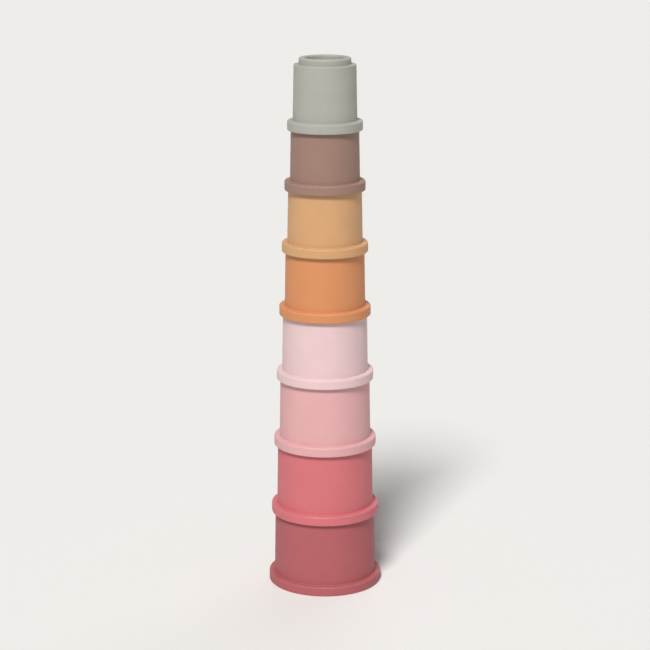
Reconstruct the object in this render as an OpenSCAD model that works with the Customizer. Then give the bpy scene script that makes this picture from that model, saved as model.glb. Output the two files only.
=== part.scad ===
// Stacking cup tower: eight round cups that stand mouth down, each on the cup below.
// A cup has a stepped collar at its mouth, a slightly tapered body, a flat shoulder that
// carries the next cup's collar, and a raised ring that keeps the next cup centred.
// Millimetres, +Z up, origin at the centre of the lowest rim.

/* [Tower] */
// Height of the whole tower
tower_h = 450; // [420:5:480]
// Diameter of the lowest collar
base_d = 96; // [92:1:110]
// How much taller each cup is than the one that stands on it
height_step = 2; // [0:0.5:3]

/* [Walls] */
// Thickness of the walls and of the roof
wall = 1.9; // [1.7:0.1:2.1]
// Taper of the body on each side, from its collar up to its shoulder
draft = 0.9; // [0.5:0.1:1.2]

/* [Fits] */
// Play all round a cup that is nested inside the next size
nest_play = 0.5; // [0.3:0.1:0.7]
// Play between a ring and the bore of the cup that stands over it
ring_play = 0.8; // [0.6:0.1:1]
// Play between a shoulder's edge and the collar that hangs round it
collar_play = 1.2; // [1:0.1:1.4]

/* [Collar] */
// Height of the collar
collar_h = 8; // [7:0.5:9]
// Rounding of the collar's upper edge
collar_round = 1.2; // [0.8:0.1:2]

/* [Ring] */
// Height of the ring above the shoulder
ring_h = 5.5; // [5:0.1:6]
// Width of the ring
ring_w = 5; // [4.6:0.1:5.4]

/* [Counting marks] */
// Height of the bead and the pips above the floor of the recess
mark_h = 0.6; // [0.4:0.1:0.8]
// Radius of a pip
pip_r = 1.7; // [1.4:0.1:2]

/* [Hidden] */
$fn = 96;
NODES = [
    "cup_1_mulberry", "cup_2_rose", "cup_3_pink", "cup_4_blush",
    "cup_5_ochre", "cup_6_sand", "cup_7_taupe", "cup_8_sage"
];
cups = len(NODES);

// Steps from one cup to the next
radius_step = wall + nest_play;
skirt_h = collar_h - wall;
mean_pitch = (tower_h - skirt_h - ring_h) / cups;

// Widths of the steps in a cup's wall
collar_reach = 2 * wall + nest_play + collar_play - draft;
shoulder_w = 2 * wall + nest_play + ring_play - draft;

// The groove that cores the ring from below, and the thickness left above it
groove_w = 2;
groove_top = 1.5;

// Roundings of the other edges and corners
rim_round = 0.7;
foot_round = 0.5;
shoulder_round = 0.8;
ring_round = 1.4;
roof_round = 1.5;

// The bead is the top of a round bar that lies mostly inside the roof
bead_bar_r = 1;
bead_place = 0.74;
pip_place = 0.42;

// Sizes of cup n, which is 0 for the lowest cup
function rim_r(n) = base_d / 2 - n * radius_step;
function body_r(n) = rim_r(n) - collar_reach;
function top_r(n) = body_r(n) - draft;
function ring_r(n) = top_r(n) - shoulder_w;
function recess_r(n) = ring_r(n) - ring_w;
function pitch(n) = mean_pitch + height_step * ((cups - 1) / 2 - n);
function shoulder_z(n) = pitch(n) + skirt_h;
function rim_z(n) = n * mean_pitch + height_step * n * (cups - n) / 2;

// Corners of a cup's section as [radius, height, rounding], from the rim up the outside,
// across the top to the axis, and back down the inside
function section(n) = let (
    shoulder = shoulder_z(n),
    roof = shoulder - wall,
    ring = ring_r(n),
    groove = ring - ring_w / 2
) [
    [rim_r(n), 0, rim_round],
    [rim_r(n), collar_h, collar_round],
    [body_r(n), collar_h, foot_round],
    [top_r(n), shoulder, shoulder_round],
    [ring, shoulder, 0],
    [ring, shoulder + ring_h, ring_round],
    [recess_r(n), shoulder + ring_h, ring_round],
    [recess_r(n), shoulder, 0],
    [0, shoulder, 0],
    [0, roof, 0],
    [groove - groove_w / 2, roof, 0],
    [groove - groove_w / 2, shoulder + ring_h - groove_top, 0],
    [groove + groove_w / 2, shoulder + ring_h - groove_top, 0],
    [groove + groove_w / 2, roof, 0],
    [top_r(n) - wall, roof, roof_round],
    [body_r(n) - wall, skirt_h, 0],
    [rim_r(n) - wall, skirt_h, 0],
    [rim_r(n) - wall, 0, 0]
];

// Every side is level or nearly upright, so each rounding is taken as a quarter circle
function lie(v) = abs(v.x) > abs(v.y) ? [sign(v.x), 0] : [0, sign(v.y)];

// A corner as [points of the flat cut across it, centre of its arc, a square that holds the
// quarter of the arc's disc on the corner's side, radius], with the radius negative in a
// hollow corner and 0 in a sharp one
function corner(rows, i) = let (
    count = len(rows),
    before = rows[(i + count - 1) % count],
    here = rows[i],
    after = rows[(i + 1) % count],
    point = [here.x, here.y],
    back = lie([before.x, before.y] - point),
    on = lie([after.x, after.y] - point),
    side = sign(on.x * back.y - on.y * back.x),
    r = here.z,
    centre = point + r * (back + on),
    across = 2 * r
) r == 0
    ? [[point], point, [], 0]
    : [
        [point + r * back, point + r * on],
        centre,
        [
            centre, centre - across * back,
            centre - across * (back + on), centre - across * on
        ],
        side * r
    ];

module quarter_disc(c) {
    intersection() {
        translate(c[1]) circle(abs(c[3]));
        polygon(c[2]);
    }
}

module rounded_section(rows) {
    corners = [for (i = [0 : len(rows) - 1]) corner(rows, i)];
    difference() {
        union() {
            polygon([for (c = corners) each c[0]]);
            for (c = corners) if (c[3] > 0) quarter_disc(c);
        }
        for (c = corners) if (c[3] < 0) quarter_disc(c);
    }
}

// Pips in a circle on the floor of the recess, or a single one in the middle
module pips(n) {
    count = cups - n;
    place = count == 1 ? 0 : pip_place * recess_r(n);
    sunk = wall / 2;
    for (i = [1 : count])
        rotate(360 * i / count)
            translate([place, 0, shoulder_z(n) - sunk])
                cylinder(h = sunk + mark_h, r = pip_r);
}

module cup(n) {
    translate([0, 0, rim_z(n)]) {
        rotate_extrude() {
            rounded_section(section(n));
            translate([bead_place * recess_r(n), shoulder_z(n) + mark_h - bead_bar_r])
                circle(bead_bar_r);
        }
        pips(n);
    }
}

module cup_1_mulberry() { color("#AE6063") cup(0); }
module cup_2_rose() { color("#CD7277") cup(1); }
module cup_3_pink() { color("#DCA9A7") cup(2); }
module cup_4_blush() { color("#E0C1BF") cup(3); }
module cup_5_ochre() { color("#D28E61") cup(4); }
module cup_6_sand() { color("#CFA072") cup(5); }
module cup_7_taupe() { color("#9B7A6A") cup(6); }
module cup_8_sage() { color("#AAA89D") cup(7); }

cup_1_mulberry();
cup_2_rose();
cup_3_pink();
cup_4_blush();
cup_5_ochre();
cup_6_sand();
cup_7_taupe();
cup_8_sage();
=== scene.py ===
"""Looks of a stacking cup tower: eight round cups, each mouth down on the cup below.

Every cup is built as one lathe-turned mesh with rounded edges, a stepped collar, a cored ring
and counting marks, and takes the place of its plain CAD node. All sizes are in metres, in the
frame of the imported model.
"""
import logging
import math
from dataclasses import dataclass, field
from enum import Enum
from typing import Any, Iterator, Sequence

import bmesh
import bpy
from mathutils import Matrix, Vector
from mathutils.geometry import delaunay_2d_cdt


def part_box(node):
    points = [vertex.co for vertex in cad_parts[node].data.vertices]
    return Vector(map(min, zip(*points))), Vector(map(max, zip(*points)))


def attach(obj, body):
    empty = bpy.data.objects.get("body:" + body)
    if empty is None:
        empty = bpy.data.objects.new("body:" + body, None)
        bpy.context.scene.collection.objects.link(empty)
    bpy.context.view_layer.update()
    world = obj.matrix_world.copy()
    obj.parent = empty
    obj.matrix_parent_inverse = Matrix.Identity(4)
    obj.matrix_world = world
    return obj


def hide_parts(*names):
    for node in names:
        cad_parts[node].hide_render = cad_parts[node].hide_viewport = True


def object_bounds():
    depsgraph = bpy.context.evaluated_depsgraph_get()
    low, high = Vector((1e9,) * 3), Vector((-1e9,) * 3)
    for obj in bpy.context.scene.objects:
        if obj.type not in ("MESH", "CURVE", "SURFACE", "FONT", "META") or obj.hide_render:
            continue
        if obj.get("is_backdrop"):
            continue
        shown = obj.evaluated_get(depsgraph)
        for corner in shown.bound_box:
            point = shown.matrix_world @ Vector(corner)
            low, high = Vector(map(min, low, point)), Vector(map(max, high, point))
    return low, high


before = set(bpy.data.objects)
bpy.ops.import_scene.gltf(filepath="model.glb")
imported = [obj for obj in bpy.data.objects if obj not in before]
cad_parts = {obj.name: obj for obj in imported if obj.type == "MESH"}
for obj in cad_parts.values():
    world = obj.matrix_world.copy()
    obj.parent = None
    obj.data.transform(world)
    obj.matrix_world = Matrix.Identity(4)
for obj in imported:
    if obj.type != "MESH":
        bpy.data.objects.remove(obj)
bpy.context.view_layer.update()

LOG = logging.getLogger("cup_tower")
MM = 0.001
# Points that are less than this many metres apart count as one
SAME_PLACE = 1e-9
Colour = tuple[float, float, float]
WHITE: Colour = (1.0, 1.0, 1.0)
WARM: Colour = (1.0, 0.985, 0.965)


class Shade(Enum):
    """The pigments of the set, from the largest cup to the smallest, in linear light."""

    MULBERRY = (0.360, 0.091, 0.101)
    ROSE = (0.528, 0.138, 0.155)
    PINK = (0.608, 0.334, 0.342)
    BLUSH = (0.641, 0.466, 0.477)
    OCHRE = (0.554, 0.227, 0.093)
    SAND = (0.535, 0.303, 0.147)
    TAUPE = (0.270, 0.165, 0.129)
    SAGE = (0.336, 0.340, 0.303)

    @property
    def plain(self) -> str:
        """The shade's name in lower case, as nodes and slots use it."""
        return self.name.lower()


class Signal:
    """A number that varies over a surface, held by a node's output socket.

    Expressions on signals and plain numbers add the Math nodes that work them out.
    """

    def __init__(self, graph: "Graph", socket: bpy.types.NodeSocket) -> None:
        """Wraps a socket.

        Args:
            graph: The node graph that the socket belongs to.
            socket: The output socket to wrap.
        """
        self.graph = graph
        self.socket = socket

    def _math(self, operation: str, first: "Operand", second: "Operand") -> "Signal":
        """Adds one Math node.

        Args:
            operation: The Math node's operation.
            first: Its first value, a signal or a number.
            second: Its second value, a signal or a number.

        Returns:
            The node's result.
        """
        node = self.graph.add("ShaderNodeMath", {"operation": operation}, {0: first, 1: second})
        return Signal(self.graph, node.outputs[0])

    def __add__(self, other: "Operand") -> "Signal":
        """signal + other."""
        return self._math("ADD", self, other)

    def __radd__(self, other: "Operand") -> "Signal":
        """other + signal."""
        return self._math("ADD", other, self)

    def __sub__(self, other: "Operand") -> "Signal":
        """signal - other."""
        return self._math("SUBTRACT", self, other)

    def __rsub__(self, other: "Operand") -> "Signal":
        """other - signal."""
        return self._math("SUBTRACT", other, self)

    def __mul__(self, other: "Operand") -> "Signal":
        """signal * other."""
        return self._math("MULTIPLY", self, other)

    def __rmul__(self, other: "Operand") -> "Signal":
        """other * signal."""
        return self._math("MULTIPLY", other, self)


Operand = Signal | float


class Graph:
    """The node graph of a material or of the room, built in code."""

    def __init__(self, owner: bpy.types.Material | bpy.types.World) -> None:
        """Clears the owner's nodes.

        Args:
            owner: The material or the room to build in.
        """
        owner.use_nodes = True
        self.tree = owner.node_tree
        self.tree.nodes.clear()

    def add(
        self,
        kind: str,
        settings: dict[str, Any] | None = None,
        inputs: dict[str | int, Any] | None = None,
    ) -> bpy.types.Node:
        """Adds a node of any type.

        Args:
            kind: The node's type.
            settings: Properties of the node, which are set before its sockets.
            inputs: What each input socket takes, by name or number: a signal, a socket, a
                number or a colour.

        Returns:
            The new node.
        """
        node = self.tree.nodes.new(kind)
        for name, value in (settings or {}).items():
            setattr(node, name, value)
        for name, value in (inputs or {}).items():
            if isinstance(value, Signal):
                value = value.socket
            if isinstance(value, bpy.types.NodeSocket):
                self.tree.links.new(value, node.inputs[name])
            else:
                node.inputs[name].default_value = value
        return node

    def noise(
        self, place: bpy.types.NodeSocket, size_mm: float, detail: float = 2.0, rough: float = 0.5
    ) -> Signal:
        """Adds a noise whose blotches have a given size.

        Args:
            place: The coordinates to read, in metres.
            size_mm: Width of a typical blotch, in millimetres.
            detail: How many finer octaves are added.
            rough: How strong the finer octaves are.

        Returns:
            The noise, from 0 to 1 with a mean of a half.
        """
        inputs = {"Vector": place, "Scale": 1 / (size_mm * MM), "Detail": detail, "Roughness": rough}
        node = self.add("ShaderNodeTexNoise", {"noise_dimensions": "3D"}, inputs)
        return Signal(self, node.outputs["Fac"])

    def between(self, value: Operand, low: float, high: float) -> Signal:
        """Eases a value from 0 at low to 1 at high.

        Args:
            value: The value to read.
            low: Where the result leaves 0.
            high: Where the result reaches 1.

        Returns:
            The eased value.
        """
        settings = {"interpolation_type": "SMOOTHSTEP"}
        inputs = {"Value": value, "From Min": low, "From Max": high}
        node = self.add("ShaderNodeMapRange", settings, inputs)
        return Signal(self, node.outputs["Result"])

    def mix(self, factor: Operand, first: Any, second: Any) -> bpy.types.NodeSocket:
        """Mixes two colours.

        Args:
            factor: Share of the second colour.
            first: The first colour, or a socket that gives one.
            second: The second colour, or a socket that gives one.

        Returns:
            The socket with the mixed colour.
        """
        inputs = {0: factor, 6: first, 7: second}
        node = self.add("ShaderNodeMix", {"data_type": "RGBA"}, inputs)
        return node.outputs[2]


def opaque(colour: Colour, gain: float = 1.0) -> tuple[float, float, float, float]:
    """A colour with full alpha, made lighter or darker by a factor.

    Args:
        colour: The colour, in linear light.
        gain: What each channel is multiplied by.

    Returns:
        Red, green, blue and alpha, none above 1.
    """
    red, green, blue = (min(1.0, channel * gain) for channel in colour)
    return red, green, blue, 1.0


@dataclass(frozen=True)
class MouldedPlastic:
    """A matte plastic out of a spark-eroded mould, in one pigment.

    Attributes:
        shade: The pigment.
        cloud_mm: Size of the faint clouds in the pigment.
        cloud_gain: How dark and how light the clouds are.
        speck_mm: Size of the fine specks in the pigment.
        speck_gain: How dark a speck is.
        speck_strength: How clearly the specks show.
        roughness: How matte the untouched surface is.
        patch_mm: Size of the broad patches in the gloss.
        patch_drift: How far the gloss drifts from patch to patch.
        dapple_mm: Size of the finer dapples in the gloss.
        dapple_drift: How far the gloss drifts from dapple to dapple.
        grain_mm: Size of the mould's fine grain.
        grain_relief: Share of the relief's depth that the grain takes.
        sink_mm: Width of the slow waves that shrinkage leaves in the walls.
        sink_relief: Share of the relief's depth that the waves take.
        relief: Depth of the relief.
        scuff_and_painted_highlight_mm: Size of the scuffed patches on an edge, which also carry a
            painted highlight.
        scuff_and_painted_highlight_white: Share of white in a scuff's colour, which paints a
            highlight on the edge as well as wear.
        scuff_and_painted_highlight_strength: How clearly that pale colour, part wear and part
            painted highlight, shows.
        scuff_gloss: How much less matte a scuff is.
        scuff_flat: Share of the grain that a scuff takes off.
    """

    shade: Shade
    cloud_mm: float = 16.0
    cloud_gain: tuple[float, float] = (0.98, 1.012)
    speck_mm: float = 0.8
    speck_gain: float = 0.9
    speck_strength: float = 0.3
    roughness: float = 0.58
    patch_mm: float = 7.0
    patch_drift: float = 0.10
    dapple_mm: float = 1.3
    dapple_drift: float = 0.06
    grain_mm: float = 0.45
    grain_relief: float = 0.8
    sink_mm: float = 22.0
    sink_relief: float = 0.9
    relief: float = 0.08 * MM
    scuff_and_painted_highlight_mm: float = 3.0
    scuff_and_painted_highlight_white: float = 0.25
    scuff_and_painted_highlight_strength: float = 0.14
    scuff_gloss: float = 0.12
    scuff_flat: float = 0.5

    def make(self) -> bpy.types.Material:
        """Builds the material.

        Returns:
            The new material.
        """
        material = bpy.data.materials.new(f"{self.shade.plain}_moulded_plastic")
        graph = Graph(material)
        place = graph.add("ShaderNodeTexCoord").outputs["Object"]
        # The edges that handling rubs are broken into patches and painted paler: partly wear, partly
        # a painted highlight along every edge.
        rub_and_painted_highlight = graph.add("ShaderNodeAttribute", {"attribute_name": "rubbed_and_painted_highlight"}).outputs["Fac"]
        scuff_and_painted_highlight_patches = graph.between(graph.noise(place, self.scuff_and_painted_highlight_mm, 3.0), 0.35, 0.7)
        worn_and_painted_highlight = scuff_and_painted_highlight_patches * Signal(graph, rub_and_painted_highlight)
        shader = graph.add(
            "ShaderNodeBsdfPrincipled",
            {"subsurface_method": "RANDOM_WALK"},
            {
                "Base Color": self._pigment(graph, place, worn_and_painted_highlight),
                "Roughness": self._matte(graph, place, worn_and_painted_highlight),
                "Normal": self._relief(graph, place, worn_and_painted_highlight),
                "IOR": 1.49,
                "Specular IOR Level": 0.36,
                "Subsurface Weight": 0.12,
                "Subsurface Radius": (1.0, 0.6, 0.45),
                "Subsurface Scale": 1.2 * MM,
            },
        )
        graph.add("ShaderNodeOutputMaterial", None, {"Surface": shader.outputs["BSDF"]})
        material.diffuse_color = opaque(self.shade.value)
        return material

    def _pigment(
        self, graph: Graph, place: bpy.types.NodeSocket, worn_and_painted_highlight: Signal
    ) -> bpy.types.NodeSocket:
        """The colour, with faint clouds, fine specks and paler scuffed edges that are partly wear
        and partly a painted highlight.

        Args:
            graph: The material's graph.
            place: The coordinates to read.
            worn_and_painted_highlight: How scuffed the surface is, which also sets where the pale
                highlight is painted.

        Returns:
            The socket with the colour.
        """
        pigment = self.shade.value
        dark, light = (opaque(pigment, gain) for gain in self.cloud_gain)
        clouds = graph.between(graph.noise(place, self.cloud_mm, 3.0), 0.3, 0.7)
        ground = graph.mix(clouds, dark, light)
        specks = graph.between(graph.noise(place, self.speck_mm, 1.0), 0.56, 0.74)
        speck = opaque(pigment, self.speck_gain)
        speckled = graph.mix(specks * self.speck_strength, ground, speck)
        # The paler colour on the edges is wear and also a painted highlight.
        pale = tuple(channel + self.scuff_and_painted_highlight_white * (1 - channel) for channel in pigment)
        return graph.mix(worn_and_painted_highlight * self.scuff_and_painted_highlight_strength, speckled, opaque(pale))

    def _matte(self, graph: Graph, place: bpy.types.NodeSocket, worn_and_painted_highlight: Signal) -> Signal:
        """The roughness, which drifts a little and is lower on a scuff.

        Args:
            graph: The material's graph.
            place: The coordinates to read.
            worn_and_painted_highlight: How scuffed the surface is, the same mask that paints the
                pale highlight on the edges.

        Returns:
            The roughness.
        """
        patches = graph.noise(place, self.patch_mm) * self.patch_drift
        dapples = graph.noise(place, self.dapple_mm) * self.dapple_drift
        lowest = self.roughness - (self.patch_drift + self.dapple_drift) / 2
        return patches + dapples + lowest - worn_and_painted_highlight * self.scuff_gloss

    def _relief(
        self, graph: Graph, place: bpy.types.NodeSocket, worn_and_painted_highlight: Signal
    ) -> bpy.types.NodeSocket:
        """The bump of the mould's grain over the slow waves of shrinkage.

        Args:
            graph: The material's graph.
            place: The coordinates to read.
            worn_and_painted_highlight: How scuffed the surface is, the same mask that paints the
                pale highlight on the edges.

        Returns:
            The socket with the bumped normal.
        """
        grain = graph.noise(place, self.grain_mm, 2.0, 0.6) * (1 - worn_and_painted_highlight * self.scuff_flat)
        waves = graph.noise(place, self.sink_mm, 1.0, 0.4)
        height = grain * self.grain_relief + waves * self.sink_relief
        inputs = {"Strength": 0.5, "Distance": self.relief, "Height": height}
        return graph.add("ShaderNodeBump", None, inputs).outputs["Normal"]


@dataclass(frozen=True)
class Roundings:
    """Radii of the arcs that round a cup's corners.

    Attributes:
        rim: Outer edge of the mouth's rim.
        lip: Inner edge of the mouth's rim, and the edges of the groove's mouth.
        skirt: Inner corner above the skirt.
        ledge: Edge of the step between the skirt and the bore.
        collar: Upper edge of the collar.
        foot: Inner corner between the collar and the body.
        shoulder: Edge of the shoulder.
        ring_foot: Inner corners on both sides of the ring.
        ring: Edges of the ring.
        roof: Inner corner between the bore and the roof.
        groove: Corners at the end of the groove.
        dish: Corners of the gate's dish.
        nub: Corners of the gate's stub.
    """

    rim: float = 0.7 * MM
    lip: float = 0.3 * MM
    skirt: float = 0.6 * MM
    ledge: float = 0.3 * MM
    collar: float = 1.2 * MM
    foot: float = 0.5 * MM
    shoulder: float = 0.8 * MM
    ring_foot: float = 0.3 * MM
    ring: float = 1.4 * MM
    roof: float = 1.5 * MM
    groove: float = 0.5 * MM
    dish: float = 0.2 * MM
    nub: float = 0.1 * MM


@dataclass(frozen=True)
class WearAndPaintedHighlight:
    """How much handling rubs the edges of a cup, from 0 to 1, which also paints them paler as a
    highlight.

    Attributes:
        rim: Outer edge of the mouth's rim.
        lip: Inner edge of that rim.
        ledge: Edge of the step between the skirt and the bore.
        collar: Upper edge of the collar.
        shoulder: Edge of the shoulder.
        ring_outside: Outer edge of the ring.
        ring_inside: Inner edge of the ring.
        bead: The bead in the recess.
        pip: A pip.
    """

    rim: float = 1.0
    lip: float = 0.8
    ledge: float = 0.4
    collar: float = 0.9
    shoulder: float = 0.8
    ring_outside: float = 0.8
    ring_inside: float = 0.6
    bead: float = 0.2
    pip: float = 0.3


@dataclass(frozen=True)
class Mould:
    """The rules that the section of every cup follows.

    Attributes:
        wall: Thickness of the walls and of the roof.
        draft: Taper of the body on each side.
        nest_play: Play all round a cup that is nested in the next size.
        ring_play: Play between a ring and the bore of the cup over it.
        collar_play: Play between a shoulder's edge and the collar round it.
        collar_height: Height of the collar.
        ring_height: Height of the ring above the shoulder.
        ring_width: Width of the ring.
        groove_width: Width of the groove that cores the ring from below.
        groove_roof: Thickness left above that groove.
        mark_height: Height of the bead and the pips.
        pip_radius: Radius of a pip.
        pip_foot: Radius of the fillet round a pip, as a share of the pip's radius.
        pip_place: Radius of the circle of pips, as a share of the recess.
        bead_place: Radius of the bead, as a share of the recess.
        bead_bar: Radius of the round bar that the bead is the top of.
        gate_radius: Radius of the shallow dish round the moulding gate, under the roof.
        gate_depth: Depth of that dish.
        nub_radius: Radius of the gate's stub.
        nub_height: Length of the stub, which stays inside the dish.
        rounded: Radii of the corners.
        worn_and_painted_highlight: How much handling rubs each edge, which also paints it paler as a
            highlight.
    """

    wall: float = 1.9 * MM
    draft: float = 0.9 * MM
    nest_play: float = 0.5 * MM
    ring_play: float = 0.8 * MM
    collar_play: float = 1.2 * MM
    collar_height: float = 8 * MM
    ring_height: float = 5.5 * MM
    ring_width: float = 5 * MM
    groove_width: float = 2 * MM
    groove_roof: float = 1.5 * MM
    mark_height: float = 0.6 * MM
    pip_radius: float = 1.7 * MM
    pip_foot: float = 1.12
    pip_place: float = 0.42
    bead_place: float = 0.74
    bead_bar: float = 1 * MM
    gate_radius: float = 2.4 * MM
    gate_depth: float = 0.5 * MM
    nub_radius: float = 0.7 * MM
    nub_height: float = 0.3 * MM
    rounded: Roundings = Roundings()
    worn_and_painted_highlight: WearAndPaintedHighlight = WearAndPaintedHighlight()

    @property
    def skirt_height(self) -> float:
        """Height of the wide step inside the collar."""
        return self.collar_height - self.wall

    @property
    def collar_reach(self) -> float:
        """How far the collar stands out from the body."""
        return 2 * self.wall + self.nest_play + self.collar_play - self.draft

    @property
    def shoulder_width(self) -> float:
        """Width of the flat shoulder outside the ring."""
        return 2 * self.wall + self.nest_play + self.ring_play - self.draft


@dataclass(frozen=True)
class Corner:
    """A corner of a cup's section.

    Attributes:
        radius: Distance from the cup's axis.
        height: Height above the cup's rim.
        rounding: Radius of the arc that rounds it, or 0.
        rub_and_painted_highlight: How much handling rubs it, from 0 to 1, which also paints it paler
            as a highlight.
    """

    radius: float
    height: float
    rounding: float = 0.0
    rub_and_painted_highlight: float = 0.0

    def towards(self, other: "Corner") -> Vector:
        """The level or upright direction that lies nearest to the way to another corner."""
        across = other.radius - self.radius
        up = other.height - self.height
        if abs(across) > abs(up):
            return Vector((math.copysign(1, across), 0))
        return Vector((0, math.copysign(1, up)))


@dataclass(frozen=True)
class Turn:
    """One ring of a lathe-turned mesh.

    Attributes:
        radius: Distance from the axis.
        height: Height above the cup's rim.
        rub_and_painted_highlight: How much handling rubs it, from 0 to 1, which also paints it paler
            as a highlight.
    """

    radius: float
    height: float
    rub_and_painted_highlight: float = 0.0


@dataclass
class Section:
    """The outline of half a cup, as a chain of corners.

    Attributes:
        corners: The corners in order.
        support: How far from an arc's end a straight side gets a ring that holds it flat.
        longest: The longest side that is left without rings along it.
        fewest: How many steps the smallest arc is cut into.
        extra: How much more radius an arc has for each further step.
    """

    corners: list[Corner]
    support: float = 0.25 * MM
    longest: float = 8 * MM
    fewest: int = 3
    extra: float = 0.3 * MM

    def turns(self) -> list[Turn]:
        """Every ring that the outline needs, arcs and straight sides alike."""
        chain: list[Turn] = []
        for index, corner in enumerate(self.corners):
            arc = self._arc(index, corner)
            if chain:
                chain.extend(self._side(chain[-1], arc[0]))
            chain.extend(arc)
        return chain

    def _arc(self, index: int, corner: Corner) -> list[Turn]:
        """The rings of one corner.

        Args:
            index: The corner's place in the chain.
            corner: The corner.

        Returns:
            One ring for a sharp corner or an end of the chain, else the rings of its arc.
        """
        ends = (0, len(self.corners) - 1)
        if index in ends or corner.rounding == 0:
            return [Turn(corner.radius, corner.height, corner.rub_and_painted_highlight)]
        back = corner.towards(self.corners[index - 1])
        on = corner.towards(self.corners[index + 1])
        point = Vector((corner.radius, corner.height))
        centre = point + corner.rounding * (back + on)
        steps = self.fewest + round(corner.rounding / self.extra)
        turns = []
        for step in range(steps + 1):
            angle = math.pi / 2 * step / steps
            place = centre - corner.rounding * (on * math.cos(angle) + back * math.sin(angle))
            turns.append(Turn(place.x, place.y, corner.rub_and_painted_highlight))
        return turns

    def _side(self, start: Turn, end: Turn) -> Iterator[Turn]:
        """The rings along a straight side.

        Args:
            start: The ring that the side leaves.
            end: The ring that the side reaches.

        Yields:
            Rings close to both ends, and evenly between them on a long side.
        """
        length = math.hypot(end.radius - start.radius, end.height - start.height)
        if length < 3 * self.support:
            return
        inner = length - 2 * self.support
        count = max(1, math.ceil(inner / self.longest))
        for step in range(count + 1):
            share = (self.support + inner * step / count) / length
            radius = start.radius + share * (end.radius - start.radius)
            height = start.height + share * (end.height - start.height)
            yield Turn(radius, height)


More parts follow.
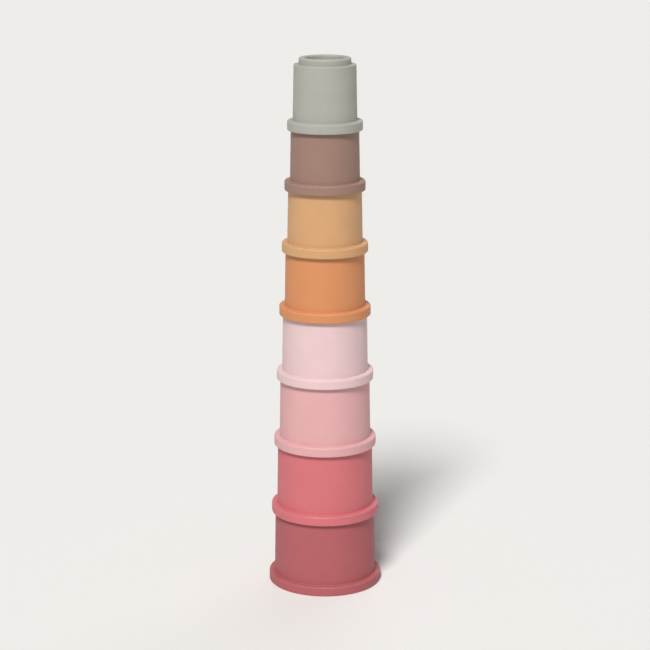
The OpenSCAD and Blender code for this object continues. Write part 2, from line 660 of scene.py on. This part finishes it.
@dataclass
class Cup:
    """One cup of the tower.

    Attributes:
        shade: Its pigment.
        number: Its place in the tower, 1 for the lowest.
        pips: How many pips its recess has.
        mould: The rules of its section.
        segments: How many sides a ring of its mesh has.
        pip_segments: How many sides a pip has.
        bead_steps: How many steps the bead's arc is cut into.
        pip_steps: How many steps the side of a pip's dome is cut into.
        low: Lowest corner of its CAD node's box.
        height: Height from its rim to the top of its ring.
        rim_radius: Outer radius of its collar.
    """

    shade: Shade
    number: int
    pips: int
    mould: Mould
    segments: int = 216
    pip_segments: int = 32
    bead_steps: int = 8
    pip_steps: int = 6
    low: Vector = field(init=False)
    height: float = field(init=False)
    rim_radius: float = field(init=False)

    def __post_init__(self) -> None:
        """Reads the cup's own sizes from its CAD node."""
        self.low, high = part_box(self.node)
        self.height = high.z - self.low.z
        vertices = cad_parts[self.node].data.vertices
        self.rim_radius = max(vertex.co.xy.length for vertex in vertices)

    @property
    def node(self) -> str:
        """Name of the cup's CAD node, which is also its body's."""
        return f"cup_{self.number}_{self.shade.plain}"

    @property
    def body_radius(self) -> float:
        """Outer radius of the body where it leaves the collar."""
        return self.rim_radius - self.mould.collar_reach

    @property
    def top_radius(self) -> float:
        """Outer radius of the body at the shoulder."""
        return self.body_radius - self.mould.draft

    @property
    def ring_radius(self) -> float:
        """Outer radius of the ring."""
        return self.top_radius - self.mould.shoulder_width

    @property
    def recess_radius(self) -> float:
        """Inner radius of the ring."""
        return self.ring_radius - self.mould.ring_width

    @property
    def shoulder(self) -> float:
        """Height of the shoulder, and of the recess's floor, above the rim."""
        return self.height - self.mould.ring_height

    def build(self) -> bpy.types.Object:
        """Builds the cup's mesh.

        Returns:
            The cup, in place of its CAD node and on its body.
        """
        mesh = bmesh.new()
        # This layer holds both edge wear and the share of pale painted highlight on each vertex.
        rubbed_and_painted_highlight = mesh.verts.layers.float.new("rubbed_and_painted_highlight")
        rings = [self._ring(mesh, turn, rubbed_and_painted_highlight) for turn in self._section().turns()]
        for inner, outer in zip(rings, rings[1:]):
            self._join(mesh, inner, outer)
        self._fill_floor(mesh, rings[0], rubbed_and_painted_highlight)
        bmesh.ops.recalc_face_normals(mesh, faces=mesh.faces)
        data = bpy.data.meshes.new(f"{self.shade.plain}_cup")
        mesh.to_mesh(data)
        mesh.free()
        data.shade_smooth()
        cup = bpy.data.objects.new(f"{self.shade.plain}_cup", data)
        bpy.context.scene.collection.objects.link(cup)
        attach(cup, self.node)
        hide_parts(self.node)
        LOG.info("%s: %d faces, %d pips", cup.name, len(data.polygons), self.pips)
        return cup

    def dress(self, cup: bpy.types.Object) -> None:
        """Gives the cup its plastic.

        Args:
            cup: The cup's object.
        """
        cup.data.materials.append(MouldedPlastic(self.shade).make())

    def _section(self) -> Section:
        """The cup's outline, from the recess over the outside to the axis under the roof."""
        corners = self._bead() + self._outside() + self._inside()
        return Section(corners)

    def _bead(self) -> list[Corner]:
        """The round bead on the recess's floor, from its inner foot to its outer foot."""
        bar = self.mould.bead_bar
        place = self.mould.bead_place * self.recess_radius
        centre = self.shoulder + self.mould.mark_height - bar
        lean = math.asin((self.shoulder - centre) / bar)
        start = Corner(place - bar - self.mould.pip_radius / 2, self.shoulder)
        arc = []
        for step in range(self.bead_steps + 1):
            angle = math.pi - lean - (math.pi - 2 * lean) * step / self.bead_steps
            height = centre + bar * math.sin(angle)
            arc.append(Corner(place + bar * math.cos(angle), height, rub_and_painted_highlight=self.mould.worn_and_painted_highlight.bead))
        return [start, *arc]

    def _outside(self) -> list[Corner]:
        """The recess's corner, the ring, the shoulder, the body and the collar."""
        rounded, worn_and_painted_highlight = self.mould.rounded, self.mould.worn_and_painted_highlight
        collar = self.mould.collar_height
        return [
            Corner(self.recess_radius, self.shoulder, rounded.ring_foot),
            Corner(self.recess_radius, self.height, rounded.ring, worn_and_painted_highlight.ring_inside),
            Corner(self.ring_radius, self.height, rounded.ring, worn_and_painted_highlight.ring_outside),
            Corner(self.ring_radius, self.shoulder, rounded.ring_foot),
            Corner(self.top_radius, self.shoulder, rounded.shoulder, worn_and_painted_highlight.shoulder),
            Corner(self.body_radius, collar, rounded.foot),
            Corner(self.rim_radius, collar, rounded.collar, worn_and_painted_highlight.collar),
            Corner(self.rim_radius, 0, rounded.rim, worn_and_painted_highlight.rim),
        ]

    def _inside(self) -> list[Corner]:
        """The skirt, the bore, the groove under the ring and the gate's dish."""
        mould, rounded, worn_and_painted_highlight = self.mould, self.mould.rounded, self.mould.worn_and_painted_highlight
        skirt = self.rim_radius - mould.wall
        bore = self.body_radius - mould.wall
        roof = self.shoulder - mould.wall
        groove_in = self.ring_radius - (mould.ring_width + mould.groove_width) / 2
        groove_out = groove_in + mould.groove_width
        groove_top = self.height - mould.groove_roof
        dish = roof + mould.gate_depth
        nub = dish - mould.nub_height
        return [
            Corner(skirt, 0, rounded.lip, worn_and_painted_highlight.lip),
            Corner(skirt, mould.skirt_height, rounded.skirt),
            Corner(bore, mould.skirt_height, rounded.ledge, worn_and_painted_highlight.ledge),
            Corner(self.top_radius - mould.wall, roof, rounded.roof),
            Corner(groove_out, roof, rounded.lip),
            Corner(groove_out, groove_top, rounded.groove),
            Corner(groove_in, groove_top, rounded.groove),
            Corner(groove_in, roof, rounded.lip),
            Corner(mould.gate_radius, roof, rounded.dish),
            Corner(mould.gate_radius, dish, rounded.dish),
            Corner(mould.nub_radius, dish, rounded.nub),
            Corner(mould.nub_radius, nub, rounded.nub),
            Corner(0, nub),
        ]

    def _ring(
        self, mesh: bmesh.types.BMesh, turn: Turn, rubbed_and_painted_highlight: Any
    ) -> list[bmesh.types.BMVert]:
        """Adds one ring of vertices.

        Args:
            mesh: The mesh to add to.
            turn: Where the ring lies.
            rubbed_and_painted_highlight: The layer that holds how much handling rubs a vertex, which
                also sets its pale painted highlight.

        Returns:
            The ring's vertices, or a single one on the axis.
        """
        z = self.low.z + turn.height
        count = self.segments if turn.radius > 0 else 1
        ring = []
        for step in range(count):
            angle = math.tau * step / count
            x = turn.radius * math.cos(angle)
            y = turn.radius * math.sin(angle)
            vertex = mesh.verts.new((x, y, z))
            vertex[rubbed_and_painted_highlight] = turn.rub_and_painted_highlight
            ring.append(vertex)
        return ring

    @staticmethod
    def _join(
        mesh: bmesh.types.BMesh,
        first: Sequence[bmesh.types.BMVert],
        second: Sequence[bmesh.types.BMVert],
    ) -> None:
        """Joins two rings, or a ring and the single vertex on the axis, with faces.

        Args:
            mesh: The mesh to add to.
            first: One ring.
            second: The next ring, or the vertex on the axis.
        """
        count = len(first)
        for step in range(count):
            after = (step + 1) % count
            if len(second) == 1:
                mesh.faces.new((first[step], first[after], second[0]))
            else:
                mesh.faces.new((first[step], first[after], second[after], second[step]))

    def _fill_floor(
        self, mesh: bmesh.types.BMesh, edge: list[bmesh.types.BMVert], rubbed_and_painted_highlight: Any
    ) -> None:
        """Closes the recess's floor inside the bead, with its domed pips.

        Args:
            mesh: The mesh to add to.
            edge: The ring of vertices that the floor ends at.
            rubbed_and_painted_highlight: The layer that holds how much handling rubs a vertex, which
                also sets its pale painted highlight.
        """
        vertices = list(edge)
        loops = [range(len(edge))]
        orbit = self.mould.pip_place * self.recess_radius if self.pips > 1 else 0.0
        for pip in range(self.pips):
            angle = math.tau * (pip + 1) / self.pips
            centre = Vector((orbit * math.cos(angle), orbit * math.sin(angle)))
            for radius, height in self._dome():
                count = self.pip_segments if radius > 0 else 1
                loops.append(range(len(vertices), len(vertices) + count))
                for step in range(count):
                    turn = math.tau * step / count
                    x = centre.x + radius * math.cos(turn)
                    y = centre.y + radius * math.sin(turn)
                    vertex = mesh.verts.new((x, y, self.low.z + self.shoulder + height))
                    vertex[rubbed_and_painted_highlight] = self.mould.worn_and_painted_highlight.pip
                    vertices.append(vertex)
        edges = [
            (loop[step], loop[(step + 1) % len(loop)])
            for loop in loops
            if len(loop) > 1
            for step in range(len(loop))
        ]
        flat = [vertex.co.xy for vertex in vertices]
        _, _, faces, origins, _, _ = delaunay_2d_cdt(flat, edges, [], 0, SAME_PLACE)
        for face in faces:
            mesh.faces.new([vertices[origins[corner][0]] for corner in face])

    def _dome(self) -> Iterator[tuple[float, float]]:
        """The rings of a pip, from its foot to its middle.

        Yields:
            Each ring's radius and its height above the floor.
        """
        yield self.mould.pip_radius * self.mould.pip_foot, 0.0
        for step in range(self.pip_steps, -1, -1):
            angle = math.pi / 2 * step / self.pip_steps
            radius = self.mould.pip_radius * math.sqrt(math.sin(angle))
            yield radius, self.mould.mark_height * math.cos(angle)


@dataclass
class Tower:
    """All the cups, largest at the bottom.

    Attributes:
        mould: The rules that every cup's section follows.
    """

    mould: Mould = field(default_factory=Mould)

    def build(self) -> None:
        """Builds and dresses every cup."""
        shades = list(Shade)
        for number, shade in enumerate(shades, start=1):
            cup = Cup(shade, number, len(shades) + 1 - number, self.mould)
            cup.dress(cup.build())


@dataclass(frozen=True)
class Lamp:
    """A broad, soft light that falls evenly on the whole scene.

    Attributes:
        name: The light's name.
        azimuth: Where it comes from, in degrees round from the camera's side to the right.
        elevation: How high it comes from, in degrees above the horizon.
        strength: How bright a white card turned to it looks, where 1 is white.
        spread: How broad it is in the sky, in degrees, which softens its shadows.
        tint: Its colour.
    """

    name: str
    azimuth: float
    elevation: float
    strength: float
    spread: float
    tint: Colour = WHITE


def around(centre: Vector, azimuth: float, elevation: float, distance: float) -> Vector:
    """A point on a sphere, with azimuth 0 on the camera's side.

    Args:
        centre: The sphere's centre.
        azimuth: Degrees round to the right.
        elevation: Degrees above the horizon.
        distance: The sphere's radius.

    Returns:
        The point.
    """
    turn = math.radians(azimuth)
    rise = math.radians(elevation)
    level = math.cos(rise)
    return centre + distance * Vector(
        (math.sin(turn) * level, -math.cos(turn) * level, math.sin(rise))
    )


@dataclass(frozen=True)
class Paper:
    """The pale matte paper of the floor.

    Attributes:
        dark: Its colour between the fibres.
        light: Its colour on the fibres.
        fibre_mm: Size of the faint marks that the fibres leave.
    """

    dark: Colour = (0.700, 0.694, 0.686)
    light: Colour = (0.730, 0.724, 0.716)
    fibre_mm: float = 4.0

    def make(self) -> bpy.types.Material:
        """Builds the material.

        Returns:
            The new material.
        """
        material = bpy.data.materials.new("pale_paper")
        graph = Graph(material)
        place = graph.add("ShaderNodeTexCoord").outputs["Object"]
        fibres = graph.noise(place, self.fibre_mm, 3.0)
        colour = graph.mix(fibres, opaque(self.dark), opaque(self.light))
        inputs = {"Base Color": colour, "Roughness": 1.0, "Specular IOR Level": 0.0}
        shader = graph.add("ShaderNodeBsdfPrincipled", None, inputs)
        graph.add("ShaderNodeOutputMaterial", None, {"Surface": shader.outputs["BSDF"]})
        return material


@dataclass
class Studio:
    """The pale floor, the soft lights and the camera.

    Attributes:
        lamps: The lights.
        lens: Focal length of the camera, in millimetres.
        camera_elevation: How far the camera looks down, in degrees.
        fill: Share of the picture's height that the tower takes.
        paper: What the floor is covered with.
        floor_radius: Radius of the floor.
        lamp_distance: How far away the lights are drawn, which doesn't change their light.
        room: Colour and strength of the even light from the walls and the ceiling.
        horizon: Colour of the floor far away, which the walls take on low down.
        blend: Heights between which the walls turn from the one to the other, where 1 is
            straight up.
    """

    lamps: tuple[Lamp, ...] = (
        Lamp("key_light", azimuth=-14, elevation=51, strength=1.17, spread=16, tint=WARM),
        Lamp("back_light", azimuth=160, elevation=38, strength=0.18, spread=50),
    )
    lens: float = 110.0
    camera_elevation: float = 14.0
    fill: float = 0.84
    paper: Paper = Paper()
    floor_radius: float = 40.0
    lamp_distance: float = 1.5
    room: Colour = (0.150, 0.149, 0.147)
    horizon: Colour = (0.861, 0.842, 0.818)
    blend: tuple[float, float] = (0.11, 0.32)

    def build(self) -> None:
        """Builds the stage round the finished tower."""
        low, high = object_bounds()
        centre = (low + high) / 2
        for lamp in self.lamps:
            self._hang(lamp, centre)
        self._lay_floor(low.z)
        self._light_room()
        self._aim_camera(centre, high - low)

    def _hang(self, lamp: Lamp, centre: Vector) -> None:
        """Adds one light.

        Args:
            lamp: The light.
            centre: What it faces.
        """
        light = bpy.data.lights.new(lamp.name, "SUN")
        light.energy = lamp.strength * math.pi
        light.angle = math.radians(lamp.spread)
        light.color = lamp.tint
        hung = bpy.data.objects.new(lamp.name, light)
        hung.location = around(centre, lamp.azimuth, lamp.elevation, self.lamp_distance)
        hung.rotation_euler = (centre - hung.location).to_track_quat("-Z", "Y").to_euler()
        bpy.context.scene.collection.objects.link(hung)

    def _lay_floor(self, height: float) -> None:
        """Adds the floor.

        Args:
            height: The level that the tower stands on.
        """
        mesh = bmesh.new()
        bmesh.ops.create_circle(mesh, cap_ends=True, radius=self.floor_radius, segments=96)
        bmesh.ops.translate(mesh, verts=mesh.verts, vec=(0, 0, height))
        data = bpy.data.meshes.new("floor")
        mesh.to_mesh(data)
        mesh.free()
        floor = bpy.data.objects.new("floor", data)
        bpy.context.scene.collection.objects.link(floor)
        data.materials.append(self.paper.make())
        floor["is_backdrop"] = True

    def _light_room(self) -> None:
        """Fills the room with an even pale light, and shows colours as they are."""
        scene = bpy.context.scene
        world = bpy.data.worlds.new("pale_room")
        graph = Graph(world)
        direction = graph.add("ShaderNodeTexCoord").outputs["Generated"]
        parts = graph.add("ShaderNodeSeparateXYZ", None, {"Vector": direction})
        rise = graph.between(Signal(graph, parts.outputs["Z"]), *self.blend)
        colour = graph.mix(rise, opaque(self.horizon), opaque(self.room))
        background = graph.add("ShaderNodeBackground", None, {"Color": colour})
        inputs = {"Surface": background.outputs["Background"]}
        graph.add("ShaderNodeOutputWorld", None, inputs)
        scene.world = world
        scene.view_settings.view_transform = "Standard"

    def _aim_camera(self, centre: Vector, size: Vector) -> None:
        """Adds the camera.

        Args:
            centre: The tower's middle.
            size: The tower's width, depth and height.
        """
        data = bpy.data.cameras.new("camera")
        data.lens = self.lens
        rise = math.radians(self.camera_elevation)
        seen = size.z * math.cos(rise) + size.y * math.sin(rise)
        distance = seen / self.fill * self.lens / data.sensor_width
        camera = bpy.data.objects.new("camera", data)
        camera.location = around(centre, 0, self.camera_elevation, distance)
        camera.rotation_euler = (centre - camera.location).to_track_quat("-Z", "Y").to_euler()
        bpy.context.scene.collection.objects.link(camera)
        bpy.context.scene.camera = camera


def main() -> None:
    """Builds the tower and its stage."""
    logging.basicConfig(level=logging.INFO, format="%(name)s: %(message)s")
    Tower().build()
    Studio().build()


if __name__ == "__main__":
    main()
